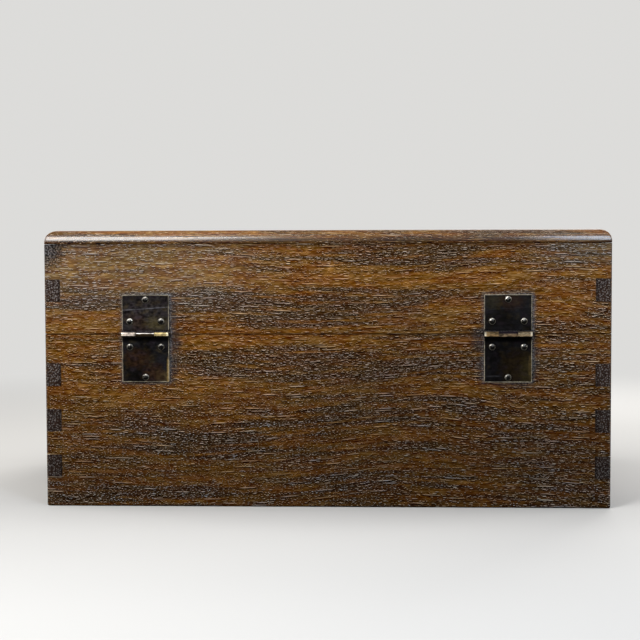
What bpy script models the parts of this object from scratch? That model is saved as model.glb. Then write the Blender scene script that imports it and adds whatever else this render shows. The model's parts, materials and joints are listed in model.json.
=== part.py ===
"""A hinged wooden box: dovetailed base and lid, outside hinges at the back, hasp and staple at the front.

Metres, +Z up. The front faces -Y and the hinges are on +Y. The origin is the bottom centre of the walls.
"""
import math

import bmesh
import bpy
from mathutils import Vector

# Walls of the base and the lid
BOX_LENGTH = 0.360
BOX_DEPTH = 0.220
BASE_HEIGHT = 0.1105
LID_WALL_HEIGHT = 0.057
WALL = 0.010
SEAM_GAP = 0.0004
JOINT_GAP = 0.00015
EDGE_ROUND = 0.0012

# Corner dovetails: tails on the left and right boards, pins on the front and back boards
TAIL_HEIGHT = 0.0142
TAIL_FLARE = 0.0015
TAIL_PITCH = 0.0293
END_PIN_HEIGHT = 0.018
LID_TAIL_DROP = 0.001

# Bottom panel, tongued into a groove in the four base boards
PANEL_THICKNESS = 0.008
PANEL_RECESS = 0.003
TONGUE_REACH = 0.004
TONGUE_THICKNESS = 0.004
PANEL_GAP = 0.0003

# Lip strips inside the rim of the base
LIP_THICKNESS = 0.003
LIP_DEPTH = 0.016
LIP_RISE = 0.0045
LIP_CLEARANCE = 0.0004
LIP_TAPER = 0.0006

# Top board, with a field underneath that drops between the lid walls
TOP_THICKNESS = 0.0085
TOP_ROUND = 0.007
TOP_EDGE_FLAT = 0.001
FIELD_DEPTH = 0.003

# Hinges: flat leaves on the back face, rolled round a pin at the seam
HINGE_INSET = 0.065
HINGE_WIDTH = 0.030
LID_LEAF_REACH = 0.025
BASE_LEAF_REACH = 0.0305
MIDDLE_KNUCKLE = 0.0117
LEAF_THICKNESS = 0.0012
LEAF_GAP = 0.0001
KNUCKLE_RADIUS = 0.0023
KNUCKLE_GAP = 0.0003
LEAF_EDGE_GAP = 0.0003
PIN_RADIUS = 0.0011
PIN_CLEARANCE = 0.00015
PIN_OVERHANG = 0.0007
PIN_CHAMFER = 0.0003

# Domed nails
NAIL_HEAD_RADIUS = 0.0022
NAIL_HEAD_HEIGHT = 0.0012
NAIL_RIM = 0.0003
NAIL_SHANK_RADIUS = 0.0007
NAIL_POINT = 0.0015
NAIL_SEAT = 0.0001
NAIL_CLEARANCE = 0.00015
NAIL_COVER = 0.003
NAIL_HOLE_SPARE = 0.0004
PAIR_OFFSET = 0.0081
PAIR_SIDE = 0.005
END_NAIL_EDGE = 0.0031

# Hasp on the base, staple on the lid
HASP_WIDTH = 0.016
HASP_DROP = 0.006
HASP_KNUCKLE = 0.008
HASP_OUTER_KNUCKLE = 0.0044
HASP_TIP = 0.0044
HASP_PLATE_REACH = 0.020
STAPLE_PLATE_HEIGHT = 0.0175
STAPLE_RISE = 0.0136
STAPLE_WIRE_RADIUS = 0.0011
STAPLE_BEND = 0.0035
STAPLE_STANDOUT = 0.002
SLOT_SIDE_CLEARANCE = 0.0011
SLOT_END_CLEARANCE = 0.0009
PLATE_NAIL_GAP = 0.0013
PLATE_MARGIN = 0.0013
PLATE_NAIL_EDGE = 0.0037

# Facets of the round shapes
EDGE_STEPS = 3
TOP_STEPS = 8
DOME_STEPS = 3
BARREL_SIDES = 20
PIN_SIDES = 16
NAIL_SIDES = 12
WIRE_SIDES = 8
BEND_STEPS = 8
ROUND_END_STEPS = 12
SMOOTH_ANGLE = math.radians(35)
SAME_POINT = 1e-7

# How far a drill starts outside what it cuts
DRILL_RUN = 0.002

BACK = 1
FRONT = -1
UP = 1
DOWN = -1

# Places that follow from the sizes above
HALF_LENGTH = BOX_LENGTH / 2
HALF_DEPTH = BOX_DEPTH / 2
INNER_LENGTH = HALF_LENGTH - WALL
INNER_DEPTH = HALF_DEPTH - WALL
LID_BOTTOM = BASE_HEIGHT + SEAM_GAP
LID_TOP = LID_BOTTOM + LID_WALL_HEIGHT
AXIS_STANDOFF = LEAF_GAP + KNUCKLE_RADIUS
LEAF_FACE = LEAF_GAP + LEAF_THICKNESS
LEAF_EDGE = KNUCKLE_RADIUS + LEAF_EDGE_GAP
HINGE_AXIS = Vector((0, HALF_DEPTH + AXIS_STANDOFF, BASE_HEIGHT + SEAM_GAP / 2))
HASP_AXIS = Vector((0, -HALF_DEPTH - AXIS_STANDOFF, BASE_HEIGHT - HASP_DROP))
STAPLE_HEIGHT = LID_BOTTOM + STAPLE_RISE
STAPLE_DISTANCE = STAPLE_HEIGHT - HASP_AXIS.z
PLATE_NAIL_SIDE = HASP_WIDTH / 2 + PLATE_NAIL_GAP + NAIL_HEAD_RADIUS
PLATE_WIDTH = 2 * (PLATE_NAIL_SIDE + NAIL_HEAD_RADIUS + PLATE_MARGIN)


def clear_scene():
    """Start from an empty scene."""
    for item in list(bpy.data.objects):
        bpy.data.objects.remove(item, do_unlink=True)


def finish(name, colour, roughness, metallic):
    """One plain finish."""
    material = bpy.data.materials.new(name)
    material.use_nodes = True
    shader = material.node_tree.nodes["Principled BSDF"]
    shader.inputs["Base Color"].default_value = (*colour, 1)
    shader.inputs["Roughness"].default_value = roughness
    shader.inputs["Metallic"].default_value = metallic
    return material


def pivot(name, place):
    """An empty on a joint's axis, which carries the pieces that turn about it."""
    empty = bpy.data.objects.new(name, None)
    empty.location = place
    bpy.context.scene.collection.objects.link(empty)
    return empty


def place(name, shape, material=None, carrier=None):
    """Make a named object of a shape that was drawn where it belongs."""
    bmesh.ops.recalc_face_normals(shape, faces=shape.faces)
    if carrier:
        bmesh.ops.translate(shape, vec=-carrier.location, verts=shape.verts)
    mesh = bpy.data.meshes.new(name)
    shape.to_mesh(mesh)
    shape.free()
    mesh.shade_smooth()
    mesh.set_sharp_from_angle(angle=SMOOTH_ANGLE)
    if material:
        mesh.materials.append(material)
    item = bpy.data.objects.new(name, mesh)
    item.parent = carrier
    bpy.context.scene.collection.objects.link(item)
    return item


def tool(name, shape):
    """A hidden shape that cuts a piece or is joined to it."""
    item = place(name, shape)
    item.hide_render = True
    item.display_type = "WIRE"
    return item


def combine(item, other, operation):
    """Cut a piece by another shape, or join them."""
    step = item.modifiers.new(other.name, "BOOLEAN")
    step.operation = operation
    step.object = other
    step.solver = "EXACT"


def loft(rings):
    """A closed solid through rings of equal count, capped at both ends."""
    shape = bmesh.new()
    loops = [[shape.verts.new(point) for point in ring] for ring in rings]
    for lower, upper in zip(loops, loops[1:]):
        for i in range(len(lower)):
            j = (i + 1) % len(lower)
            shape.faces.new((lower[i], lower[j], upper[j], upper[i]))
    shape.faces.new(loops[0][::-1])
    shape.faces.new(loops[-1])
    bmesh.ops.remove_doubles(shape, verts=shape.verts, dist=SAME_POINT)
    return shape


def slab(outline, near, far):
    """An outline of x and z, from one y to another."""
    return loft([[(x, y, z) for x, z in outline] for y in (near, far)])


def block(low, high):
    """A plain block between two corners."""
    outline = [(low[0], low[2]), (high[0], low[2]), (high[0], high[2]), (low[0], high[2])]
    return slab(outline, low[1], high[1])


def circle(radius, sides):
    """Points round a circle, with a flat side at the bottom."""
    turns = [2 * math.pi * (i + 0.5) / sides - math.pi / 2 for i in range(sides)]
    return [(radius * math.cos(turn), radius * math.sin(turn)) for turn in turns]


def rod(start, end, axis, radius, sides):
    """A round bar along X."""
    round_points = circle(radius, sides)
    return loft([[(x, axis.y + a, axis.z + b) for a, b in round_points] for x in (start, end)])


def merged(shapes):
    """Several loose shapes as one."""
    whole = bmesh.new()
    for shape in shapes:
        part = bpy.data.meshes.new("part")
        shape.to_mesh(part)
        shape.free()
        whole.from_mesh(part)
        bpy.data.meshes.remove(part)
    return whole


def turned(profile, origin, facing, sides):
    """A solid turned about Y, from a profile of distances and radii that starts and ends on the axis."""
    shape = bmesh.new()

    def spot(distance, a=0, b=0):
        return shape.verts.new((origin.x + a, origin.y + facing * distance, origin.z + b))

    start = spot(profile[0][0])
    loops = [[spot(distance, a, b) for a, b in circle(radius, sides)] for distance, radius in profile[1:-1]]
    end = spot(profile[-1][0])
    for i in range(sides):
        j = (i + 1) % sides
        shape.faces.new((start, loops[0][j], loops[0][i]))
        shape.faces.new((end, loops[-1][i], loops[-1][j]))
        for lower, upper in zip(loops, loops[1:]):
            shape.faces.new((lower[i], lower[j], upper[j], upper[i]))
    return shape


def tail_places(bottom, height, drop=0):
    """Heights of the middles of the tails on a wall."""
    room = height - TAIL_HEIGHT - 2 * END_PIN_HEIGHT
    count = max(1, int(room / TAIL_PITCH) + 1)
    middle = bottom + height / 2 - drop
    return [middle + TAIL_PITCH * (i - (count - 1) / 2) for i in range(count)]


def tail_half(depth):
    """Half the height of a tail, at a distance from the box's middle."""
    return TAIL_HEIGHT / 2 - TAIL_FLARE * (HALF_DEPTH - depth) / WALL


def mirrored(right):
    """A whole outline, from its right half listed from low to high."""
    return right + [(-a, b) for a, b in reversed(right)]


def eased_edge():
    """Steps round an eased edge, each a distance in from one face and from the other."""
    turns = [math.pi / 2 * step / EDGE_STEPS for step in range(EDGE_STEPS + 1)]
    return [(EDGE_ROUND * (1 - math.sin(turn)), EDGE_ROUND * (1 - math.cos(turn))) for turn in turns]


def tail_board(bottom, top, tails, side, foot_eased):
    """A left or right board, with tails at its ends and its outer edges eased."""
    shoulder = INNER_DEPTH - JOINT_GAP
    root = tail_half(shoulder)
    rings = []
    for x, across in [(INNER_LENGTH, 0), *((HALF_LENGTH - along, across) for along, across in eased_edge())]:
        end = HALF_DEPTH - across
        tip = tail_half(end)
        right = [(shoulder, bottom + across if foot_eased else bottom)]
        for z in tails:
            right += [(shoulder, z - root), (end, z - tip), (end, z + tip), (shoulder, z + root)]
        right.append((shoulder, top))
        rings.append([(side * x, y, z) for y, z in mirrored(right)])
    return loft(rings)


def pin_board(bottom, top, tails, side, foot_eased):
    """A front or back board, with sockets for the tails and its outer edges eased."""
    floor = INNER_LENGTH - JOINT_GAP
    rings = []
    for y, across in [(INNER_DEPTH, 0), *((HALF_DEPTH - along, across) for along, across in eased_edge())]:
        end = HALF_LENGTH - across
        half = tail_half(y) + JOINT_GAP
        right = [(end, bottom)]
        if foot_eased:
            shrink = 1 - across / EDGE_ROUND
            right = [(end - shrink * b, bottom + across + shrink * a) for a, b in reversed(eased_edge())]
        for z in tails:
            right += [(end, z - half), (floor, z - half), (floor, z + half), (end, z + half)]
        right.append((end, top))
        rings.append([(x, side * y, z) for x, z in mirrored(right)])
    return loft(rings)


def four_walls(prefix, bottom, top, tails, foot_eased, material, carrier=None):
    """The front, back, left and right boards of the base or the lid."""
    walls = {}
    boards = (("front", pin_board, FRONT), ("back", pin_board, BACK),
              ("left", tail_board, -1), ("right", tail_board, 1))
    for word, board, side in boards:
        shape = board(bottom, top, tails, side, foot_eased)
        walls[word] = place(f"{prefix}_{word}_board", shape, material, carrier)
    return walls


def rectangle(inset, z, corner=0.0):
    """A ring of the box's outline, set in from the outside, with corners of a radius."""
    ring = []
    for quarter, (sx, sy) in enumerate(((1, 1), (-1, 1), (-1, -1), (1, -1))):
        centre = Vector((sx * (HALF_LENGTH - inset - corner), sy * (HALF_DEPTH - inset - corner), z))
        for step in range(EDGE_STEPS + 1):
            turn = (quarter + step / EDGE_STEPS) * math.pi / 2
            ring.append(centre + corner * Vector((math.cos(turn), math.sin(turn), 0)))
    return ring


def square_ring(inset, z):
    """A ring of the box's outline with sharp corners."""
    x, y = HALF_LENGTH - inset, HALF_DEPTH - inset
    return [(x, y, z), (-x, y, z), (-x, -y, z), (x, -y, z)]


def bottom_panel(material):
    """The panel that closes the base, with a tongue all round."""
    low, high = PANEL_RECESS, PANEL_RECESS + PANEL_THICKNESS
    cheek = (PANEL_THICKNESS - TONGUE_THICKNESS) / 2
    shoulder, tongue = WALL + PANEL_GAP, WALL - TONGUE_REACH
    steps = ((shoulder, low), (shoulder, low + cheek), (tongue, low + cheek),
             (tongue, high - cheek), (shoulder, high - cheek), (shoulder, high))
    place("bottom_panel", loft([square_ring(inset, z) for inset, z in steps]), material)
    reach = WALL - TONGUE_REACH - PANEL_GAP
    corner = (HALF_LENGTH - reach, HALF_DEPTH - reach)
    return tool("panel_groove", block((-corner[0], -corner[1], low + cheek - PANEL_GAP),
                                      (corner[0], corner[1], high - cheek + PANEL_GAP)))


def lip_strips(material):
    """Four mitred strips inside the rim, standing proud of it to guide the lid."""
    low, rim, high = BASE_HEIGHT - LIP_DEPTH, BASE_HEIGHT, BASE_HEIGHT + LIP_RISE
    section = ((JOINT_GAP, low), (JOINT_GAP, rim), (LIP_CLEARANCE, rim),
               (LIP_CLEARANCE + LIP_TAPER, high), (LIP_THICKNESS, high), (LIP_THICKNESS, low))
    sides = (("front", True, -1), ("back", True, 1), ("left", False, -1), ("right", False, 1))
    for word, along_x, side in sides:
        half, wall = (INNER_LENGTH, INNER_DEPTH) if along_x else (INNER_DEPTH, INNER_LENGTH)
        rings = []
        for end in (-1, 1):
            ring = [(end * (half - inset - JOINT_GAP), side * (wall - inset), z) for inset, z in section]
            rings.append([(a, b, z) if along_x else (b, a, z) for a, b, z in ring])
        place(f"lip_{word}", loft(rings), material)


def top_board(material, carrier):
    """The lid's top: a field between the walls, and a rounded edge flush with their faces."""
    under = LID_TOP + JOINT_GAP
    high = under + TOP_THICKNESS
    radius = min(TOP_ROUND, TOP_THICKNESS - TOP_EDGE_FLAT)
    field = WALL + PANEL_GAP
    rings = [rectangle(field, under - FIELD_DEPTH, EDGE_ROUND), rectangle(field, under, EDGE_ROUND),
             rectangle(0, under, EDGE_ROUND)]
    for step in range(TOP_STEPS + 1):
        turn = math.pi / 2 * step / TOP_STEPS
        inset, z = radius * (1 - math.cos(turn)), high - radius + radius * math.sin(turn)
        rings.append(rectangle(inset, z, EDGE_ROUND))
    place("lid_top_board", loft(rings), material, carrier)


def on_face(x, z, facing):
    """A point on the front or back face of the box."""
    return Vector((x, facing * HALF_DEPTH, z))


def nail_shape(x, z, facing):
    """A domed nail through a plate, into the wall behind it."""
    seat = LEAF_FACE + NAIL_SEAT
    tip = NAIL_COVER - WALL
    dome = NAIL_HEAD_HEIGHT - NAIL_RIM
    profile = [(tip, 0), (tip + NAIL_POINT, NAIL_SHANK_RADIUS)]
    profile += [(seat, NAIL_SHANK_RADIUS), (seat, NAIL_HEAD_RADIUS)]
    for step in range(DOME_STEPS):
        turn = math.pi / 2 * step / DOME_STEPS
        profile.append((seat + NAIL_RIM + dome * math.sin(turn), NAIL_HEAD_RADIUS * math.cos(turn)))
    profile.append((seat + NAIL_HEAD_HEIGHT, 0))
    return turned(profile, on_face(x, z, facing), facing, NAIL_SIDES)


def hole(x, z, facing, radius, sides, depth):
    """A drill for a hole square to the front or back face, through a plate and into the wall."""
    reach = LEAF_FACE + DRILL_RUN
    profile = [(-depth, 0), (-depth, radius), (reach, radius), (reach, 0)]
    return turned(profile, on_face(x, z, facing), facing, sides)


def nailed(name, plate, wall, spots, facing, material, carrier=None):
    """Drill a plate and the wall behind it, and drive a nail at each spot."""
    depth = WALL - NAIL_COVER + NAIL_HOLE_SPARE
    radius = NAIL_SHANK_RADIUS + NAIL_CLEARANCE
    drill = tool(f"{name}_drill", merged([hole(x, z, facing, radius, NAIL_SIDES, depth) for x, z in spots]))
    for piece in (plate, wall):
        combine(piece, drill, "DIFFERENCE")
    for number, (x, z) in enumerate(spots, 1):
        place(f"{name}_nail_{number}", nail_shape(x, z, facing), material, carrier)


def leaf(name, axis, facing, direction, width, reach, knuckles, material, carrier=None):
    """A flat leaf on one side of a pin, with its share of the knuckles, each from one x to another."""
    half = width / 2
    edge = [(-half, LEAF_EDGE)]
    for start, end in knuckles:
        edge += [(start, LEAF_EDGE), (start, 0), (end, 0), (end, LEAF_EDGE)]
    edge.append((half, LEAF_EDGE))
    corners = [point for point, before in zip(edge, [None, *edge]) if point != before]
    outline = [*corners, (half, reach), (-half, reach)]
    face = facing * (HALF_DEPTH + LEAF_GAP)
    outline = [(axis.x + x, axis.z + direction * z) for x, z in outline]
    plate = place(name, slab(outline, face, face + facing * LEAF_THICKNESS), material, carrier)
    bars = [rod(axis.x + start, axis.x + end, axis, KNUCKLE_RADIUS, BARREL_SIDES) for start, end in knuckles]
    combine(plate, tool(f"{name}_barrels", merged(bars)), "UNION")
    bore = rod(axis.x - width, axis.x + width, axis, PIN_RADIUS + PIN_CLEARANCE, PIN_SIDES)
    combine(plate, tool(f"{name}_bore", bore), "DIFFERENCE")
    return plate


def pin(name, axis, length, material):
    """A plain pin with eased ends."""
    half = length / 2 + PIN_OVERHANG
    rings = []
    for x, radius in ((-half, PIN_RADIUS - PIN_CHAMFER), (PIN_CHAMFER - half, PIN_RADIUS),
                      (half - PIN_CHAMFER, PIN_RADIUS), (half, PIN_RADIUS - PIN_CHAMFER)):
        rings.append([(axis.x + x, axis.y + a, axis.z + b) for a, b in circle(radius, PIN_SIDES)])
    place(name, loft(rings), material)


def hinge(name, x, base_wall, lid_wall, plate_finish, bright_finish, lid_carrier):
    """One hinge: two leaves, a pin, and three nails in each leaf."""
    axis = HINGE_AXIS + Vector((x, 0, 0))
    half, middle = HINGE_WIDTH / 2, MIDDLE_KNUCKLE / 2
    outer = [(-half, -middle - KNUCKLE_GAP), (middle + KNUCKLE_GAP, half)]
    base_leaf = leaf(f"{name}_base_leaf", axis, BACK, DOWN, HINGE_WIDTH, BASE_LEAF_REACH, outer, plate_finish)
    lid_leaf = leaf(f"{name}_lid_leaf", axis, BACK, UP, HINGE_WIDTH, LID_LEAF_REACH, [(-middle, middle)],
                    plate_finish, lid_carrier)
    pin(f"{name}_pin", axis, HINGE_WIDTH, bright_finish)
    for word, plate, wall, reach, way, carrier in (
            ("base", base_leaf, base_wall, BASE_LEAF_REACH, DOWN, None),
            ("lid", lid_leaf, lid_wall, LID_LEAF_REACH, UP, lid_carrier)):
        side = half - PAIR_SIDE
        spots = [(x, axis.z + way * (reach - END_NAIL_EDGE)),
                 (x - side, axis.z + way * PAIR_OFFSET), (x + side, axis.z + way * PAIR_OFFSET)]
        nailed(f"{name}_{word}", plate, wall, spots, BACK, bright_finish, carrier)


def corner_spots(low, high):
    """Four nail places in the corners of a front plate."""
    heights = (low + PLATE_NAIL_EDGE, high - PLATE_NAIL_EDGE)
    return [(side * PLATE_NAIL_SIDE, z) for z in heights for side in (-1, 1)]


def hasp_plate(base_wall, plate_finish, bright_finish):
    """The plate on the base that carries the hasp, and its pin."""
    inner = HASP_KNUCKLE / 2 + KNUCKLE_GAP
    outer = inner + HASP_OUTER_KNUCKLE
    knuckles = [(-outer, -inner), (inner, outer)]
    plate = leaf("hasp_plate", HASP_AXIS, FRONT, DOWN, PLATE_WIDTH, HASP_PLATE_REACH, knuckles, plate_finish)
    pin("hasp_pin", HASP_AXIS, 2 * outer, bright_finish)
    spots = corner_spots(HASP_AXIS.z - HASP_PLATE_REACH, HASP_AXIS.z - LEAF_EDGE)
    nailed("hasp_plate", plate, base_wall, spots, FRONT, bright_finish)


def slot_ends():
    """How far from the pin the hasp's slot starts and ends, to pass over the staple on its swing."""
    half = STAPLE_BEND + STAPLE_WIRE_RADIUS
    furthest = math.hypot(STAPLE_DISTANCE, STAPLE_STANDOUT) + half
    return STAPLE_DISTANCE - half - SLOT_END_CLEARANCE, furthest + SLOT_END_CLEARANCE


def hasp(plate_finish, carrier):
    """The hanging strap: a middle knuckle, a slot for the staple, and a round end."""
    start, end = slot_ends()
    half, neck = HASP_WIDTH / 2, HASP_KNUCKLE / 2
    length = end + HASP_TIP
    outline = [(neck, 0), (neck, -LEAF_EDGE), (half, -LEAF_EDGE)]
    for step in range(ROUND_END_STEPS + 1):
        turn = math.pi * step / ROUND_END_STEPS
        outline.append((half * math.cos(turn), half - length - half * math.sin(turn)))
    outline += [(-half, -LEAF_EDGE), (-neck, -LEAF_EDGE), (-neck, 0)]
    thick = LEAF_THICKNESS / 2
    shape = slab([(x, HASP_AXIS.z + z) for x, z in outline], HASP_AXIS.y - thick, HASP_AXIS.y + thick)
    strap = place("hasp", shape, plate_finish, carrier)
    barrel = rod(-neck, neck, HASP_AXIS, KNUCKLE_RADIUS, BARREL_SIDES)
    combine(strap, tool("hasp_barrel", barrel), "UNION")
    bore = rod(-HASP_WIDTH, HASP_WIDTH, HASP_AXIS, PIN_RADIUS + PIN_CLEARANCE, PIN_SIDES)
    combine(strap, tool("hasp_bore", bore), "DIFFERENCE")
    wide = STAPLE_WIRE_RADIUS + SLOT_SIDE_CLEARANCE
    slot = block((-wide, HASP_AXIS.y - HASP_WIDTH, HASP_AXIS.z - end),
                 (wide, HASP_AXIS.y + HASP_WIDTH, HASP_AXIS.z - start))
    combine(strap, tool("hasp_slot", slot), "DIFFERENCE")


def staple_shape():
    """A bent wire: two legs into the lid's front, and a round eye standing out of it."""
    tip = Vector((0, -HALF_DEPTH + WALL - NAIL_COVER, STAPLE_HEIGHT))
    bend = Vector((0, HASP_AXIS.y - STAPLE_STANDOUT, STAPLE_HEIGHT))
    quarter = math.pi / 2
    turns = [math.pi * step / BEND_STEPS - quarter for step in range(BEND_STEPS + 1)]
    stations = [(tip, -quarter), *((bend, turn) for turn in turns), (tip, quarter)]
    rings = []
    for centre, turn in stations:
        out = Vector((0, -math.cos(turn), math.sin(turn)))
        wire = circle(STAPLE_WIRE_RADIUS, WIRE_SIDES)
        rings.append([centre + (STAPLE_BEND + b) * out + Vector((a, 0, 0)) for a, b in wire])
    return loft(rings)


def staple(lid_wall, plate_finish, bright_finish, carrier):
    """The lid's plate with its staple, drilled for the two legs."""
    half = PLATE_WIDTH / 2
    low, high = STAPLE_HEIGHT - STAPLE_PLATE_HEIGHT / 2, STAPLE_HEIGHT + STAPLE_PLATE_HEIGHT / 2
    face = -HALF_DEPTH - LEAF_GAP
    shape = block((-half, face - LEAF_THICKNESS, low), (half, face, high))
    plate = place("staple_plate", shape, plate_finish, carrier)
    place("staple", staple_shape(), bright_finish, carrier)
    depth = WALL - NAIL_COVER + NAIL_HOLE_SPARE
    radius = STAPLE_WIRE_RADIUS + NAIL_CLEARANCE
    legs = [hole(0, STAPLE_HEIGHT + side * STAPLE_BEND, FRONT, radius, NAIL_SIDES, depth) for side in (-1, 1)]
    drill = tool("staple_drill", merged(legs))
    for piece in (plate, lid_wall):
        combine(piece, drill, "DIFFERENCE")
    nailed("staple_plate", plate, lid_wall, corner_spots(low, high), FRONT, bright_finish, carrier)


def main():
    clear_scene()
    outer_wood = finish("outer_wood", (0.13, 0.065, 0.028), 0.42, 0)
    inner_wood = finish("inner_wood", (0.17, 0.09, 0.042), 0.6, 0)
    dark_brass = finish("dark_brass", (0.055, 0.042, 0.028), 0.35, 1)
    bright_brass = finish("bright_brass", (0.42, 0.32, 0.16), 0.3, 1)
    lid_pivot = pivot("lid_pivot", HINGE_AXIS)
    hasp_pivot = pivot("hasp_pivot", HASP_AXIS)

    base_tails = tail_places(0, BASE_HEIGHT)
    lid_tails = tail_places(LID_BOTTOM, LID_WALL_HEIGHT, LID_TAIL_DROP)
    base = four_walls("base", 0, BASE_HEIGHT, base_tails, True, outer_wood)
    lid = four_walls("lid", LID_BOTTOM, LID_TOP, lid_tails, False, outer_wood, lid_pivot)
    groove = bottom_panel(inner_wood)
    for wall in base.values():
        combine(wall, groove, "DIFFERENCE")
    lip_strips(inner_wood)
    top_board(outer_wood, lid_pivot)

    hinge_place = HALF_LENGTH - HINGE_INSET
    for name, x in (("left_hinge", -hinge_place), ("right_hinge", hinge_place)):
        hinge(name, x, base["back"], lid["back"], dark_brass, bright_brass, lid_pivot)
    hasp_plate(base["front"], dark_brass, bright_brass)
    hasp(dark_brass, hasp_pivot)
    staple(lid["front"], dark_brass, bright_brass, lid_pivot)


main()
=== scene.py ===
import json
import math

import bmesh
import bpy
from mathutils import Matrix, Vector


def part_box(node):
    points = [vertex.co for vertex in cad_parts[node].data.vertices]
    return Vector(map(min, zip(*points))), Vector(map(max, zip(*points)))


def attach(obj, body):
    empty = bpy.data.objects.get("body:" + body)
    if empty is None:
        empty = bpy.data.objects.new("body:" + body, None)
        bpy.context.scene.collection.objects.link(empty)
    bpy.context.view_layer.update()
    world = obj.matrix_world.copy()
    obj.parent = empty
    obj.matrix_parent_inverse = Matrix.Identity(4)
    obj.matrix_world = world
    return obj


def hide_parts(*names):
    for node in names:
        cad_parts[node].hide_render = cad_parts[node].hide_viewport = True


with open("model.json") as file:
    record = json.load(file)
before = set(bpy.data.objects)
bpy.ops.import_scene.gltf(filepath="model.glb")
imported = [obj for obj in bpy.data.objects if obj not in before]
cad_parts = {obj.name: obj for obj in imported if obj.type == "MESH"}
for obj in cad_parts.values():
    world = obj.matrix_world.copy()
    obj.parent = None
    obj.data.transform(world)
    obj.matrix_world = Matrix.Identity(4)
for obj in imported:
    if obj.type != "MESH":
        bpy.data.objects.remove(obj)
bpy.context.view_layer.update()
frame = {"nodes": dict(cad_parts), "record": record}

MM = 0.001


def neat(length):
    """A length from the frame, without the stray last digits."""
    return round(length, 6)


# Places and sizes from the frame, in metres
JOINT_PLACES = {joint["name"]: joint["pos_m"] for joint in frame["record"]["behaviour"]["joints"]}
HINGE_AXIS_Y, HINGE_AXIS_Z = JOINT_PLACES["lid_hinge"][1:]
LOWER_LEAF_LOW, LOWER_LEAF_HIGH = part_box("right_hinge_base_leaf")
HINGE_X = neat((LOWER_LEAF_LOW.x + LOWER_LEAF_HIGH.x) / 2)
HINGE_WIDTH = neat(LOWER_LEAF_HIGH.x - LOWER_LEAF_LOW.x)
HINGE_FOOT = neat(LOWER_LEAF_LOW.z)
HINGE_HEAD = neat(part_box("right_hinge_lid_leaf")[1].z)
LEAF_BACK = neat(LOWER_LEAF_LOW.y)
WALL_INNER_X = neat(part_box("base_right_board")[0].x)
WALL_INNER_Y, WALL_OUTER_Y = (neat(corner.y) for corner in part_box("base_back_board"))

# Sizes of the metalwork, in metres
LEAF_THICK = 0.0012
LEAF_FRONT = LEAF_BACK + LEAF_THICK
LEAF_CORNER = 0.0007
LEAF_EDGE = 0.00022
BARREL_RADIUS = 0.0023
BARREL_GAP = 0.00035
BORE_RADIUS = 0.00128
BORE_REACH = 0.02
ROLL_REACH = 0.006
ROLL_STEPS = 32
ROUND_SIDES = 24
PIN_RADIUS = 0.0011
PLATE_EDGE = 0.00018
STAPLE_EDGE = 0.00012
NAIL_HEAD_RADIUS = 0.0022
NAIL_RIM = 0.0003
NAIL_DOME = 0.0009
NAIL_SHANK_RADIUS = 0.0007
NAIL_SHANK_LENGTH = 0.0080
NAIL_SEAT = 0.0014

# Where each knuckle starts and ends, from the hinge's middle
OUTER_KNUCKLES = ((-HINGE_WIDTH / 2, -0.00615), (0.00615, HINGE_WIDTH / 2))
MIDDLE_KNUCKLE = ((-0.00585, 0.00585),)

# Distance from the pin's end, and the share of its radius there
PIN_DOME = ((0.00008, 0.25), (0.0001, 0.6), (0.00028, 0.88), (0.0006, 1.0))


class Value:
    """One output of a look's nodes; arithmetic on it adds Math nodes."""

    def __init__(self, look, socket):
        self.look = look
        self.socket = socket

    def __add__(self, other):
        return self.look.maths("ADD", self, other)

    def __sub__(self, other):
        return self.look.maths("SUBTRACT", self, other)

    def __rsub__(self, other):
        return self.look.maths("SUBTRACT", other, self)

    def __mul__(self, other):
        return self.look.maths("MULTIPLY", self, other)

    def __truediv__(self, other):
        return self.look.maths("DIVIDE", self, other)

    def __pow__(self, other):
        return self.look.maths("POWER", self, other)

    def __abs__(self):
        return self.look.maths("ABSOLUTE", self)

    __radd__ = __add__
    __rmul__ = __mul__

    def least(self, other):
        return self.look.maths("MINIMUM", self, other)

    def most(self, other):
        return self.look.maths("MAXIMUM", self, other)

    def rise(self, start, end):
        """0 before start, 1 after end and smooth between them; start may be the larger."""
        return self.look.node(
            "ShaderNodeMapRange",
            {"interpolation_type": "SMOOTHSTEP"},
            {"Value": self, "From Min": start, "From Max": end, "To Min": 0.0, "To Max": 1.0},
        )


EYE_GAMMA = 2.2


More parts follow.
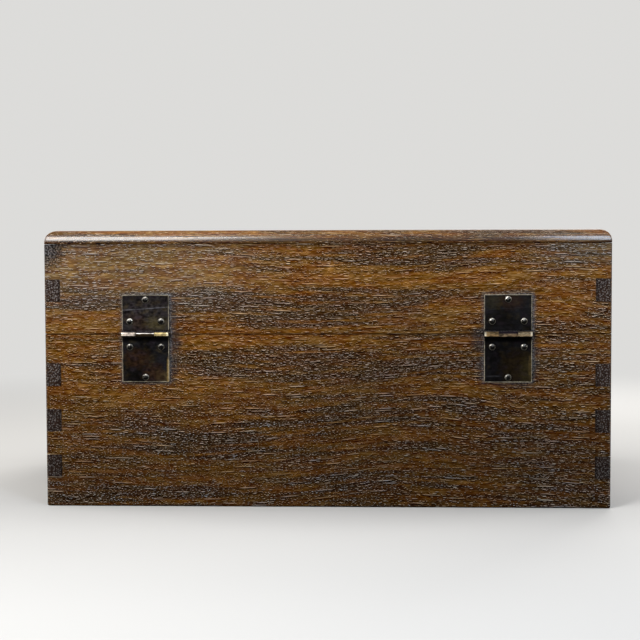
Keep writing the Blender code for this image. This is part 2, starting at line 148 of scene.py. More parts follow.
class Look:
    """The nodes of a material or of the room, while they are being made."""

    def __init__(self, owner):
        self.owner = owner
        owner.use_nodes = True
        self.tree = owner.node_tree
        self.tree.nodes.clear()

    def feed(self, socket, value):
        if isinstance(value, Value):
            self.tree.links.new(value.socket, socket)
        elif socket.type == "RGBA" and len(value) == 3:
            socket.default_value = (*value, 1.0)
        else:
            socket.default_value = value

    def node(self, kind, settings=(), inputs=(), output=0):
        """A node of any kind; output is one output's name or number, or several in a tuple."""
        made = self.tree.nodes.new(kind)
        for name, value in dict(settings).items():
            setattr(made, name, value)
        for name, value in dict(inputs).items():
            self.feed(made.inputs[name], value)
        if isinstance(output, tuple):
            return tuple(Value(self, made.outputs[each]) for each in output)
        return Value(self, made.outputs[output])

    def maths(self, operation, first, second=0.0):
        return self.node("ShaderNodeMath", {"operation": operation}, {0: first, 1: second})

    def mix(self, share, first, second, blend="MIX"):
        """The first colour going over to the second as share goes from 0 to 1."""
        return self.node(
            "ShaderNodeMix",
            {"data_type": "RGBA", "blend_type": blend, "clamp_result": blend == "ADD"},
            {0: share, 6: first, 7: second},
            2,
        )

    def grey(self, level):
        return self.node("ShaderNodeCombineColor", (), {0: level, 1: level, 2: level})

    def tint(self, colour, strength):
        """A colour made lighter or darker by a value."""
        return self.mix(1.0, colour, self.grey(strength), "MULTIPLY")

    def shaded(self, colour, change):
        """A colour moved lighter or darker evenly to the eye, so that its hue stays."""
        eye = self.node("ShaderNodeGamma", (), {"Color": colour, "Gamma": 1.0 / EYE_GAMMA})
        moved = self.mix(1.0, eye, self.grey(change), "ADD")
        return self.node("ShaderNodeGamma", (), {"Color": moved, "Gamma": EYE_GAMMA})

    def millimetres(self):
        """The three Object coordinates, in millimetres."""
        place = self.node("ShaderNodeTexCoord", output="Object")
        scaled = self.node(
            "ShaderNodeVectorMath", {"operation": "SCALE"}, {"Vector": place, "Scale": 1.0 / MM}
        )
        return self.node("ShaderNodeSeparateXYZ", (), {0: scaled}, (0, 1, 2))

    def point(self, x, y, z):
        return self.node("ShaderNodeCombineXYZ", (), {0: x, 1: y, 2: z})

    def noise(self, place, detail, roughness=0.5):
        """Noise from 0 to 1, with one swell per unit of place."""
        return self.node(
            "ShaderNodeTexNoise",
            (),
            {"Vector": place, "Scale": 1.0, "Detail": detail, "Roughness": roughness},
        )

    def blotches(self, place, width, height, detail=2.0, roughness=0.5):
        """Noise with swells of this width along X and Y, and of this height along Z."""
        x, y, z = place
        return self.noise(self.point(x / width, y / width, z / height), detail, roughness)

    def cells(self, place):
        """Distance to the nearest of points scattered over X and Y, and its own random colour."""
        return self.node(
            "ShaderNodeTexVoronoi",
            {"voronoi_dimensions": "2D"},
            {"Vector": place, "Scale": 1.0, "Randomness": 1.0},
            (0, 1),
        )

    def attribute(self, name, output="Fac"):
        return self.node("ShaderNodeAttribute", {"attribute_name": name}, output=output)

    def close(self, shader, kind="ShaderNodeOutputMaterial"):
        """Joins the shader to the output node."""
        self.node(kind, (), {"Surface": shader}, ())

    def surface(self, height, lift, bump_strength, **inputs):
        """The finished material; height is raised by lift metres at most."""
        normal = self.node(
            "ShaderNodeBump", (), {"Strength": bump_strength, "Distance": lift, "Height": height}
        )
        sockets = {name.replace("_", " "): value for name, value in inputs.items()}
        self.close(self.node("ShaderNodeBsdfPrincipled", (), {**sockets, "Normal": normal}))
        return self.owner


WOOD_DARK = (0.0565, 0.0287, 0.0102)
WOOD_DARK_RED = (0.0615, 0.0270, 0.0102)
WOOD_GOLD = (0.172, 0.0785, 0.0135)
WOOD_RED = (0.156, 0.0560, 0.0095)
WOOD_AMBER = (0.250, 0.104, 0.0130)
END_WOOD = (0.026, 0.0160, 0.0137)
END_SPECK = (0.25, 0.228, 0.217)
BARE_WOOD = (0.21, 0.118, 0.058)
DUST = (0.125, 0.128, 0.138)
# Painted sheen on the back of the lid: its pale haze, and the cooling it gives
SHEEN_HAZE = (0.36, 0.31, 0.25)
SHEEN_COOLING = (0.72, 1.0, 1.58)
COOL_CHALK = (0.80, 0.98, 1.28)
STAIN = (0.018, 0.0188, 0.0210)
GRIME = (0.022, 0.0222, 0.0250)
# Painted sheen on the pale filling of the pores
SHEEN_FILLING = (0.40, 0.375, 0.345)

# Patches of the back that are more golden, or darker where the last value is below zero:
# middle in X and Z, half length and half height in millimetres, amount
BACK_FIGURE = (
    (125, 151, 54, 9, 0.28),
    (-10, 145, 86, 4, 0.3),
    (-149, 129, 16, 8, 0.3),
    (-82, 127, 16, 6, 0.26),
    (60, 108, 38, 5, 0.26),
    (-5, 107, 16, 2.5, 0.26),
    (154, 111, 24, 8, 0.2),
    (130, 72, 51, 7, 0.24),
    (35, 78, 44, 4.5, 0.18),
    (-73, 79, 25, 4.5, 0.22),
    (-76, 30, 35, 6, 0.17),
    (73, 27, 25, 3, 0.16),
    (28, 128, 63, 9, -0.28),
    (-58, 160, 36, 5, -0.32),
    (6, 92, 92, 8, -0.26),
    (82, 42, 38, 8, -0.27),
    (-19, 60, 28, 5, -0.25),
    (-86, 65, 14, 4.5, -0.25),
    (-122, 49, 19, 4.5, -0.22),
    (-38, 16, 48, 4.5, -0.18),
    (-152, 11, 25, 11, -0.14),
    (114, 10, 44, 4, -0.18),
    (160, 131, 19, 5, -0.42),
)

# Patches of grime beside the hinges, given in the same way
HINGE_GRIME = (
    (97.0, 105.0, 4.0, 7.0, 1.0),
    (98.0, 121.0, 2.4, 12.0, 0.8),
    (97.6, 90.0, 2.6, 9.0, 0.7),
    (-97.0, 107.0, 4.0, 6.0, 1.0),
    (-98.6, 88.0, 2.2, 10.0, 0.6),
    (-131.8, 96.0, 2.4, 12.0, 0.6),
    (-120.0, 78.6, 12.0, 1.6, 0.6),
)
STAINED_CORNER = (181.0, 167.0, 11.0, 11.0)

# What follows the grain: length along it and width across it in millimetres, and detail
SWELL = (190.0, 90.0, 1.0)
RIPPLE = (42.0, 20.0, 1.0)
ZONE = (110.0, 20.0, 2.0)
STREAK = (45.0, 3.2, 2.0)
FIBRE = (4.2, 0.75, 1.0)
STRAND = (20.0, 1.05, 1.0)
HUE = (18.0, 4.0, 1.0)
AMBER = (12.0, 3.4, 1.0)
COOLNESS = (11.0, 3.6, 1.0)

# Pores: spacing along and across the grain in millimetres, and a shift along it
LONG_PORES = (6.2, 1.15, 0.0)
SHORT_PORES = (2.2, 1.02, 40.0)
HAIR_PORES = (26.0, 1.7, 90.0)
END_PORE = 1.3
PORE_LIP = 0.50

SWELL_HEIGHT = 26.0
RIPPLE_HEIGHT = 1.6
GRIT = (0.9, 0.9, 1.0)
PORE_LIFT = 0.53
GROOVE_DROP = 0.42
FIBRE_SWING = 0.5
STRAND_SWING = 0.32
END_GRAIN_SHARE = {"x": 0.92, "y": 0.92, "top": 0.4}
WOOD_RELIEF = 0.00025

# Where looks start and end on the boards, in millimetres
SEAM_Z = HINGE_AXIS_Z / MM
OUTER_FACE = (109.0, 109.8)
LOWER_PART = (125.0, 25.0)
FINE_PORES_Z = (115.0, 60.0)
FINE_PORES_X = (-130.0, 20.0)
# Where the painted sheen lies on the back of the lid
SHEEN_Z = (114.0, 150.0)
SHEEN_X = (0.0, 120.0)
SHEEN_CORNER_Z = (146.0, 166.0)
SHEEN_CORNER_X = (-115.0, -160.0)
SHEEN_Y = (106.0, 109.0)
STAINED_Y = (108.0, 109.5)
# Painted light and shade across the back: where it darkens, lightens on the lid, and brightens at
# the far end and corner
DIM_X = (80.0, -40.0)
LIGHT_Z = (112.0, 150.0)
FAR_END_X = (-60.0, -160.0)
FAR_CORNER_X = (-105.0, -160.0)
FAR_CORNER_Z = (70.0, 140.0)
# Painted shade on the lower part of the top board's rounded edge
TOP_BOARD_SHADE_Z = (173.4, 170.6)
TOP_OF_WALLS = (163.8, 167.4)
TAIL_EDGE = (169.9, 172.4)
GLEAM_X = (-20.0, 60.0)
FAR_GLEAM_X = (-115.0, -150.0)


class Log:
    """A board's place in its log, in millimetres along and across the grain, and its main noises."""

    def __init__(self, look, grain, shift):
        x, y, z = look.millimetres()
        along, across, depth = {"x": (x, z, y), "y": (y, z, x), "top": (x, y, z)}[grain]
        self.look = look
        self.x, self.y, self.z = x, y, z
        self.grit = look.blotches((x, y, z), *GRIT)
        self.end_pore = look.cells(look.point(across / END_PORE, depth / END_PORE, 0.0))[0]
        if grain == "top":
            depth = depth * look.maths("SIGN", y) * -1.0
        self.along = along + shift[0]
        self.across = across + depth + shift[1]
        self.depth = depth + shift[2]
        swell = self.noise(*SWELL)
        ripple = self.noise(*RIPPLE)
        self.across = self.across + swell * SWELL_HEIGHT + ripple * RIPPLE_HEIGHT
        self.zone = self.noise(*ZONE)
        self.streak = self.noise(*STREAK)
        self.fibre = self.noise(*FIBRE)

    def noise(self, length, width, detail):
        """Noise drawn out along the grain."""
        place = self.look.point(self.along / length, self.across / width, self.depth / width)
        return self.look.noise(place, detail)


def pores(log, crowd, length, width, offset):
    """Dashes that follow the grain, each a dark groove with pale filling on its upper side."""
    look = log.look
    lines = []
    for raised in (0.0, PORE_LIP):
        distance, draw = look.cells(
            look.point(log.along / length + offset, (log.across - raised) / width, 0.0)
        )
        size, show, bright = look.node("ShaderNodeSeparateColor", (), {0: draw}, (0, 1, 2))
        shown = (crowd - show).rise(-0.02, 0.02) * (0.4 + bright * 0.6)
        lines.append((0.13 + size * 0.10 - distance, shown))
    groove = lines[0][0].rise(-0.10, 0.02) * lines[0][1]
    filling = lines[1][0].rise(-0.04, 0.04) * lines[1][1]
    return groove, filling


def pore_lines(log, golden, sheen, fine):
    """All the pores together: their grooves, and the filling in them."""
    kinds = (
        pores(log, 0.95 + sheen * 0.2 - golden * 0.25 - fine * 0.45, *LONG_PORES),
        pores(log, 0.85 - golden * 0.5 + fine * 0.35, *SHORT_PORES),
        pores(log, 0.3, *HAIR_PORES),
    )
    dark_line, pale_line = kinds[0]
    for groove, filling in kinds[1:]:
        dark_line = dark_line.most(groove)
        pale_line = pale_line.most(filling)
    return dark_line, pale_line


def spot(x, z, place_x, place_z, half_x, half_z, stray):
    """A soft-edged patch: 1 in its middle, 0 well outside it; stray frays the edge."""
    across = (x - place_x) / half_x
    up = (z - place_z) / half_z
    return (across * across + up * up + stray).rise(2.6, 0.0)


def golden_share(log, hinged):
    """0 where the wood is nearly black, 1 where it is golden."""
    mood = (log.streak - 0.5) * 1.5 + (log.zone - 0.5) * (0.6 if hinged else 1.6)
    if hinged:
        stray = (log.streak - 0.5) * 4.5
        for *patch, amount in BACK_FIGURE:
            mood = mood + spot(log.x, log.z, *patch, stray) * amount
    return mood.rise(-0.32, 0.32)


def ground_colour(log, golden):
    """The wood between its pores."""
    look = log.look
    hue = log.noise(*HUE)
    warm = look.mix(hue.rise(0.40, 0.60), WOOD_GOLD, WOOD_RED)
    warm = look.mix(log.noise(*AMBER).rise(0.54, 0.70) * 0.85, warm, WOOD_AMBER)
    dark = look.mix(hue.rise(0.38, 0.62), WOOD_DARK, WOOD_DARK_RED)
    return look.mix(golden, dark, warm)


def lined_colour(log, golden, low, dark_line, pale_line):
    """The wood with its pores, fibres and strands, and cooler filling towards its foot."""
    look = log.look
    contrast = (1.0 - golden * 0.36) * (1.0 + low * 0.42)
    change = (pale_line * PORE_LIFT - dark_line * GROOVE_DROP) * contrast
    change = change + (log.fibre - 0.5) * FIBRE_SWING
    change = change + (log.noise(*STRAND) - 0.5) * golden * STRAND_SWING
    colour = look.shaded(ground_colour(log, golden), change)
    cool = log.noise(*COOLNESS).rise(0.46, 0.62)
    return look.mix(pale_line * cool * (0.15 + low * 0.85), colour, COOL_CHALK, "MULTIPLY")


def sheen_share(log):
    """Where a painted sheen pales the back of the lid: towards one end, and at the other corner."""
    near_end = log.z.rise(*SHEEN_Z) * log.x.rise(*SHEEN_X) * 0.62
    lit_far_corner = log.z.rise(*SHEEN_CORNER_Z) * log.x.rise(*SHEEN_CORNER_X) * 0.6
    return near_end.most(lit_far_corner) * log.y.rise(*SHEEN_Y)


def hinge_dust(log):
    """Grey dust that polishing has left round the hinge leaves."""
    from_hinge = abs(log.x) - HINGE_X / MM
    beside = (abs(from_hinge) - HINGE_WIDTH / 2 / MM).most(0.0)
    middle = (HINGE_HEAD + HINGE_FOOT) / 2 / MM
    half_height = (HINGE_HEAD - HINGE_FOOT) / 2 / MM
    beyond = (abs(log.z - middle) - half_height).most(0.0)
    gap = (beside * beside + beyond * beyond) ** 0.5
    own_side = from_hinge * log.look.maths("SIGN", log.x)
    weight = 0.5 + own_side.rise(14.0, -16.0) * 0.5
    reach = (gap + (log.zone - 0.5) * 3.0 + (log.grit - 0.5) * 4.0).rise(2.8, 0.3)
    return reach * weight * log.y.rise(*OUTER_FACE)


def hinge_grime(log):
    """Dark grey grime that has crept out from the hinges over the wood."""
    stray = (log.streak - 0.5) * 3.0 + (log.grit - 0.5) * 3.0
    total = 0.0
    for *patch, amount in HINGE_GRIME:
        total = (spot(log.x, log.z, *patch, stray) * amount).most(total)
    return total * log.y.rise(*OUTER_FACE)


def weathered_and_lit(log, colour, sheen, pale_line):
    """The back with its painted sheen, painted light and shade across it, and dirt round its hinges
    and at a corner.
    """
    look, x, z, grit = log.look, log.x, log.z, log.grit
    # Painted sheen: the back of the lid made cooler and paler, its pores paler, and a pale haze laid
    # over it
    colour = look.mix(sheen, colour, SHEEN_COOLING, "MULTIPLY")
    colour = look.mix(pale_line * sheen * 0.7, colour, SHEEN_FILLING)
    colour = look.mix(sheen * (0.05 + log.streak * 0.10), colour, SHEEN_HAZE)
    # Painted light and shade: the back darkened from the +X end towards -X and lightened on the lid,
    # with painted light from the side lamp brightening the -X end and its upper corner
    lit_far_corner = x.rise(*FAR_CORNER_X) * z.rise(*FAR_CORNER_Z) * 0.18
    lit_far_end = x.rise(*FAR_END_X) * 0.10 + lit_far_corner
    level = 1.0 - x.rise(*DIM_X) * 0.14 + z.rise(*LIGHT_Z) * 0.14
    colour = look.tint(colour, level + lit_far_end)
    grime_colour = look.tint(GRIME, 0.3 + grit.rise(0.42, 0.62) * 2.4)
    colour = look.mix(hinge_grime(log) * 0.72, colour, grime_colour)
    dust_colour = look.tint(DUST, 0.2 + grit.rise(0.40, 0.68) * 1.9)
    colour = look.mix(hinge_dust(log) * 0.7, colour, dust_colour)
    stain = spot(x, z, *STAINED_CORNER, (grit - 0.5) * 5.0) * log.y.rise(*STAINED_Y)
    stain_colour = look.tint(STAIN, grit.rise(0.48, 0.62) * 8.0 + 0.35)
    return look.mix(stain * 0.92, colour, stain_colour)


def with_joint_lines_and_shade(log, colour, grain):
    """Darker along the lid's seam and along the joint under the top board, with painted shade over
    the lower part of the top board's rounded edge.
    """
    seam = abs(log.z - SEAM_Z).rise(0.75, 0.25) * (0.35 + log.streak * 0.7)
    colour = log.look.tint(colour, 1.0 - seam * 0.75)
    if grain == "top":
        # Painted shade: the lower part of the top board's rounded edge darkened, next to the joint
        joint = log.z.rise(*TOP_BOARD_SHADE_Z) * (0.25 + log.streak.rise(0.3, 0.65) * 0.45)
    else:
        joint = log.z.rise(*TOP_OF_WALLS) * log.streak.rise(0.4, 0.6) * 0.5
    return log.look.tint(colour, 1.0 - joint)


def end_grain_colour(log, grain):
    """Dark ends of the boards with pale specks; the tails are darker at their inner edge."""
    look = log.look
    tone = look.tint(END_WOOD, 0.25 + log.streak * 0.5 + log.grit.rise(0.35, 0.65) * 0.9)
    speck = log.end_pore.rise(0.42, 0.12) * log.grit.rise(0.38, 0.55)
    tone = look.mix(speck, tone, END_SPECK)
    if grain == "y":
        tone = look.tint(tone, 0.4 + abs(log.x).rise(*TAIL_EDGE) * 0.65)
    return tone


def wood(name, grain, shift, bare=False, hinged=False):
    """Waxed open-pored hardwood with its grain along X or Y; shift picks the part of the log."""
    look = Look(bpy.data.materials.new(name))
    log = Log(look, grain, shift)
    fibre = log.fibre
    sheen = sheen_share(log) if hinged else 0.0
    fine = log.z.rise(*FINE_PORES_Z) * log.x.rise(*FINE_PORES_X) if hinged else 0.0
    golden = golden_share(log, hinged)
    dark_line, pale_line = pore_lines(log, golden, sheen, fine)
    inside = look.attribute("inside")
    bare_colour = look.tint(look.mix(golden, BARE_WOOD, WOOD_GOLD), 0.7 + fibre * 0.6)
    bare_colour = look.tint(bare_colour, 1.0 - dark_line * 0.4)
    if bare:
        colour = bare_colour
    else:
        low = log.z.rise(*LOWER_PART)
        colour = lined_colour(log, golden, low, dark_line, pale_line)
        if hinged:
            colour = weathered_and_lit(log, colour, sheen, pale_line)
        colour = with_joint_lines_and_shade(log, colour, grain)
        ends = look.attribute("end_grain") * END_GRAIN_SHARE[grain]
        colour = look.mix(ends, colour, end_grain_colour(log, grain))
        # Painted shade: every board darkens towards the bottom of the box
        colour = look.tint(look.mix(inside, colour, bare_colour), 1.0 - low * 0.45)
    polish = look.attribute("polish") * (1.0 - pale_line * 0.6)
    if grain == "top":
        gleam = log.x.rise(*GLEAM_X).most(log.x.rise(*FAR_GLEAM_X))
        polish = polish * (0.4 + gleam * 0.6)
    return look.surface(
        fibre * 0.25 - pale_line * 0.75,
        WOOD_RELIEF,
        0.7,
        Base_Color=colour,
        Roughness=0.42 + fibre * 0.14 + pale_line * 0.2 + inside * 0.15,
        Specular_IOR_Level=0.02,
        Coat_Weight=polish,
        Coat_Roughness=0.21,
        Coat_IOR=1.8,
    )


SKIN = (0.0052, 0.0048, 0.0044)
SKIN_BLUE = (0.0105, 0.0104, 0.0118)
SKIN_BROWN = (0.075, 0.046, 0.021)
BRASS_GOLD = (0.40, 0.27, 0.095)
BRASS_PALE = (0.56, 0.50, 0.38)
# Pale scratches, and also the thin painted highlight along the top of the barrels
SCRATCH_AND_GLINT = (0.16, 0.16, 0.18)
OLIVE = (0.060, 0.048, 0.017)
RUST = (0.030, 0.015, 0.008)
# Painted reflection on one hinge leaf
PAINTED_REFLECTION_GREY = (0.036, 0.031, 0.031)
PURPLE = (0.024, 0.017, 0.023)
WARM = (0.034, 0.021, 0.008)
# Painted highlight on the nail heads
NAIL_GLINT = (0.80, 0.77, 0.70)
NAIL_RING = (0.30, 0.28, 0.22)

# Blotches on the brass: width and height in millimetres, then detail and roughness
CLOUD = (13.0, 12.0, 3.0, 0.55)
PIT = (0.9, 0.9)
MOTTLE = (3.6, 2.8)
SPECK = (1.8, 1.4)
SMUDGE = (5.0, 3.6)

# A long scratch across the upper leaf: its height in millimetres and its slope
SCORE_Z = 126.95
SCORE_SLOPE = 0.068

# Where a leaf goes over into its barrel, in millimetres: Y, and height from the axis
ROLLED_Y = (111.42, 111.7)
ROLLED_Z = (3.2, 2.6)

# Depth of the unevenness, and heights between which the nails' worn rims and painted highlights grow
# stronger, in metres
BRASS_RELIEF = 0.00005
NAIL_RELIEF = 0.00008
NAIL_RIM_AND_GLINT_Z = (0.1, 0.115)

# The barrel's tone at its low and high X and where its rubbed band, partly a painted highlight,
# starts and ends above the axis;
# how patchy, light and scored the leaf is, its lightness being a painted shade that darkens the
# lower leaves, and a shift of its clouds;
# its marks: place from the hinge's middle and height, half sizes, tone and strength
LEAF_LOOKS = {
    "left_lower": {
        "knuckle": ((0.215, 0.160, 0.095), (0.150, 0.098, 0.046), -1.3, 1.55),
        "patchy": 0.7,
        "shade": 0.6,
        "scored": 0.0,
        "seed": 20.65,
        "marks": (
            (-6.0, 89.0, 9, 10, WARM, 0.5),
            (-12.0, 86.0, 4, 8, OLIVE, 0.45),
            (-14.2, 90.0, 1.2, 7, BRASS_GOLD, 0.18),
            (9.2, 84.0, 4, 0.45, SCRATCH_AND_GLINT, 0.2),
        ),
    },
    "left_upper": {
        "knuckle": ((0.15, 0.10, 0.056), (0.13, 0.095, 0.060), -1.5, 0.35),
        "patchy": 0.5,
        "shade": 1.0,
        "scored": 0.05,
        "seed": 66.65,
        "marks": (
            (-1.7, 131.2, 7, 4, RUST, 0.5),
            (9.0, 131.0, 5, 4, OLIVE, 0.2),
        ),
    },
    "right_lower": {
        "knuckle": ((0.36, 0.285, 0.135), (0.37, 0.32, 0.28), -0.85, 1.15),
        "patchy": 0.95,
        "shade": 0.95,
        "scored": 0.0,
        "seed": 41.35,
        "marks": (
            (6.0, 95.2, 7, 5, RUST, 0.9),
            (-11.5, 83.0, 4, 3.5, BRASS_GOLD, 0.13),
            (-14.5, 86.5, 0.8, 8, BRASS_GOLD, 0.6),
            (-5.0, 86.0, 6, 5, RUST, 0.8),
        ),
    },
    "right_upper": {
        "knuckle": ((0.55, 0.53, 0.50), (0.55, 0.53, 0.50), 0.50, 0.75),
        "patchy": 1.25,
        "shade": 1.0,
        "scored": 0.7,
        "seed": 87.35,
        "marks": (
            # Painted reflection: a paler grey patch over the middle of the leaf
            (0.0, 122.0, 17, 14, PAINTED_REFLECTION_GREY, 0.6),
            (-6.8, 117.2, 6, 4, OLIVE, 0.6),
            (3.5, 115.5, 4, 5, RUST, 0.5),
            (8.0, 121.0, 5, 3, RUST, 0.4),
        ),
    },
}


def brass_clouds(look, x, y, z):
    """Tarnish clouds, fine rubbing scratches and pits."""
    cloud = look.blotches((x, y, z), *CLOUD)
    rub = look.noise(look.point(x / 9.0, y / 0.6, (z + x * 0.12) / 0.4), 2.0)
    pit = look.blotches((x, y, z), *PIT)
    return cloud, rub, pit


def rolled_brass(look, side, up, knuckle, mottle, speck, pit):
    """The barrel: a band rubbed bright along it and partly a painted highlight, dark skin above and
    below the band that painted shade darkens towards the underside, and a thin painted highlight
    along its top.
    """
    tone_low_x, tone_high_x, low, high = knuckle
    worn = look.mix(side.rise(-9.0, 9.0), tone_low_x, tone_high_x)
    worn = look.mix(abs(side).rise(13.2, 14.6) * 0.7, worn, BRASS_PALE)
    patches = 0.15 + mottle.rise(0.3, 0.7) * 0.8 + speck.rise(0.3, 0.7) * 0.8
    # Painted light and shade on the band: lighter low down and darker where the lamp's highlight
    # falls, so that the band looks even
    worn = look.tint(worn, patches * (1.5 - up.rise(-0.6, 0.5) * 0.95))
    stray = (pit - 0.5) * 0.7
    band_foot = (up + stray).rise(low - 0.2, low + 0.2)
    band_head = (up + stray * 0.5).rise(high + 0.2, high - 0.1)
    # Painted shade: the skin goes from brown to near black towards the underside of the barrel
    skin = look.mix(up.rise(-1.9, 0.2), SKIN, look.tint(SKIN_BROWN, 0.15 + speck * 0.5))
    skin = look.mix(up.rise(high, high + 0.2), skin, look.tint(PURPLE, 0.1 + speck * 0.5))
    # Painted highlight: a thin pale line along the top of the barrel
    skin = look.mix(up.rise(1.75, 2.05) * pit.rise(0.35, 0.6), skin, SCRATCH_AND_GLINT)
    return look.mix(band_foot * band_head, skin, worn)


def brass_surface(look, colour, roughness, cloud, rub, pit):
    height = cloud * 0.4 + rub * 0.3 + pit * 0.3
    return look.surface(
        height, BRASS_RELIEF, 0.5, Base_Color=colour, Roughness=roughness, Metallic=1.0
    )


def leaf_brass(name, centre_x, end_z, knuckle, patchy, shade, scored, seed, marks):
    """A hinge leaf: nearly black skin with smudges, edges and barrel rubbed to bright metal, the
    barrel partly a painted highlight, and a painted shadow beneath the barrel.
    """
    look = Look(bpy.data.materials.new(name))
    x, y, z = look.millimetres()
    side = x - centre_x
    up = z - HINGE_AXIS_Z / MM
    cloud, rub, pit = brass_clouds(look, x + seed, y, z + seed)
    mottle = look.blotches((x, y, z), *MOTTLE)
    speck = look.blotches((x, y, z + seed), *SPECK)
    smudge = look.blotches((x + seed, y, z), *SMUDGE)
    stray = (mottle - 0.5) * 5.0 + (pit - 0.5) * 0.8
    colour = look.mix(cloud.rise(0.35, 0.7), SKIN, SKIN_BLUE)
    for *patch, tone, amount in marks:
        mark = spot(side, z, *patch, stray)
        colour = look.mix(mark * (mottle * 0.9 + rub * 0.9) * amount, colour, tone)
    warm_smudge = smudge.rise(0.50, 0.70) * 0.30 * patchy
    colour = look.mix(warm_smudge, colour, look.mix(cloud, RUST, OLIVE))
    colour = look.mix(smudge.rise(0.48, 0.30) * 0.40 * patchy, colour, PURPLE)
    swing = (mottle - 0.5) * 2.4 + (speck - 0.5) * 1.6
    # Painted shade: each leaf's lightness, darkest on the lower leaf of the left hinge
    colour = look.tint(colour, (1.0 + swing * patchy).most(0.25) * shade)
    if scored:
        line = abs(z - SCORE_Z + side * SCORE_SLOPE + (cloud - 0.5) * 0.8)
        score = line.rise(0.40, 0.10) * mottle.rise(0.25, 0.7) * scored
        colour = look.mix(score, colour, SCRATCH_AND_GLINT)
    border = (HINGE_WIDTH / 2 / MM - abs(side)).least(abs(end_z - z))
    edge = (border + (mottle - 0.5) * 0.5).rise(0.5, 0.22) * (0.25 + pit * 0.9)
    edge = edge * (0.4 + (cloud * 0.5 + smudge * 0.5).rise(0.42, 0.58) * 0.6)
    colour = look.mix(edge * 0.9, colour, BRASS_PALE)
    # Painted shadow: a dark band on the lower leaf just beneath the barrel
    under = (up + 2.0).rise(-4.2, -1.6) * up.rise(1.0, -2.0)
    colour = look.tint(colour, (0.6 + rub * 0.5 + pit * 0.3) * (1.0 - under * 0.8))
    barrel = y.rise(*ROLLED_Y) * abs(up).rise(*ROLLED_Z)
    colour = look.mix(barrel, colour, rolled_brass(look, side, up, knuckle, mottle, speck, pit))
    return brass_surface(look, colour, 0.24 + cloud * 0.2 + pit * 0.06, cloud, rub, pit)


def plain_brass(name, wear):
    """Brass with a dark skin, rubbed bright in clouds and along its edges."""
    look = Look(bpy.data.materials.new(name))
    cloud, rub, pit = brass_clouds(look, *look.millimetres())
    rubbed = (cloud * 0.6 + rub * 0.4).rise(0.95 - wear, 1.15 - wear)
    colour = look.mix(cloud.rise(0.38, 0.62), SKIN, look.mix(pit, SKIN_BLUE, RUST))
    colour = look.mix(rubbed, colour, BRASS_PALE)
    edges = look.attribute("edges") * (0.3 + pit * 0.9)
    colour = look.mix(edges * 0.8, colour, BRASS_PALE)
    colour = look.tint(colour, 0.65 + rub * 0.7)
    return brass_surface(look, colour, 0.22 + cloud * 0.2, cloud, rub, pit)


def nail_brass(name):
    """Nail heads: a painted highlight on the upper side, dark skin below it, and a thin worn rim."""
    look = Look(bpy.data.materials.new(name))
    x, y, z = look.millimetres()
    _, rub, pit = brass_clouds(look, x, y, z)
    crown = look.attribute("crown")
    middle = look.attribute("middle", "Vector")
    middle_x, middle_z = look.node("ShaderNodeSeparateXYZ", (), {0: middle}, (0, 2))
    aside = x * MM - middle_x
    above = z * MM - middle_z
    # Painted highlight: a crescent on the upper side of each dome, where the lamp above would catch
    # it
    lit_side = (aside * 0.35 + above * 0.93) / NAIL_HEAD_RADIUS
    luck = look.node("ShaderNodeTexWhiteNoise", {"noise_dimensions": "3D"}, {"Vector": middle})
    crescent = (lit_side + (pit - 0.5) * 3.2 + (luck - 0.5) * 0.5).rise(0.15, 0.60)
    hollow = 1.0 - crown.rise(0.50, 0.80) * 0.85
    painted_glint = crescent * crown.rise(0.04, 0.30) * hollow * (0.2 + luck * 0.8)
    rim = crown.rise(0.45, 0.25) * crown.rise(0.0, 0.12) * pit.rise(0.25, 0.55)
    # Painted shade: the rims and painted highlights of the lower nails are dimmer
    rubbed = 0.45 + middle_z.rise(*NAIL_RIM_AND_GLINT_Z) * 0.35
    colour = look.mix(rim * rubbed, SKIN, NAIL_RING)
    colour = look.mix(painted_glint * rubbed, colour, NAIL_GLINT)
    return look.surface(
        pit * 0.7 + rub * 0.3,
        NAIL_RELIEF,
        0.6,
        Base_Color=colour,
        Roughness=0.22 + pit * 0.25,
        Metallic=1.0,
    )


WELD_DISTANCE = 1e-6
FLAT_ANGLE = math.radians(0.4)
SHARP_ANGLE = math.radians(38.0)
EDGE_SEGMENTS = 2
FLAT_WEIGHT = 100
CORNER_STEPS = 5


def welded(node):
    """A copy of a CAD piece with its loose triangles joined into whole faces."""
    shape = bmesh.new()
    shape.from_mesh(frame["nodes"][node].data)
    bmesh.ops.remove_doubles(shape, verts=shape.verts, dist=WELD_DISTANCE)
    bmesh.ops.dissolve_limit(shape, angle_limit=FLAT_ANGLE, verts=shape.verts, edges=shape.edges)
    return shape


def new_object(name, shape):
    mesh = bpy.data.meshes.new(name)
    shape.to_mesh(mesh)
    shape.free()
    piece = bpy.data.objects.new(name, mesh)
    bpy.context.scene.collection.objects.link(piece)
    return piece


def bake(piece):
    """Turns what the modifiers make into the piece's own plain mesh."""
    graph = bpy.context.evaluated_depsgraph_get()
    mesh = bpy.data.meshes.new_from_object(piece.evaluated_get(graph))
    piece.modifiers.clear()
    old = piece.data
    piece.data = mesh
    bpy.data.meshes.remove(old)
    mesh.name = piece.name


def soften(piece, width=0.0):
    """Rounds the sharp edges to this width and shades the flats flat."""
    for polygon in piece.data.polygons:
        polygon.use_smooth = True
    if width:
        bevel = piece.modifiers.new("edges", "BEVEL")
        bevel.width = width
        bevel.segments = EDGE_SEGMENTS
        bevel.limit_method = "ANGLE"
        bevel.angle_limit = SHARP_ANGLE
        bevel.use_clamp_overlap = True
    piece.data.set_sharp_from_angle(angle=SHARP_ANGLE)
    flats = piece.modifiers.new("flats", "WEIGHTED_NORMAL")
    flats.keep_sharp = True
    flats.weight = FLAT_WEIGHT
    bake(piece)


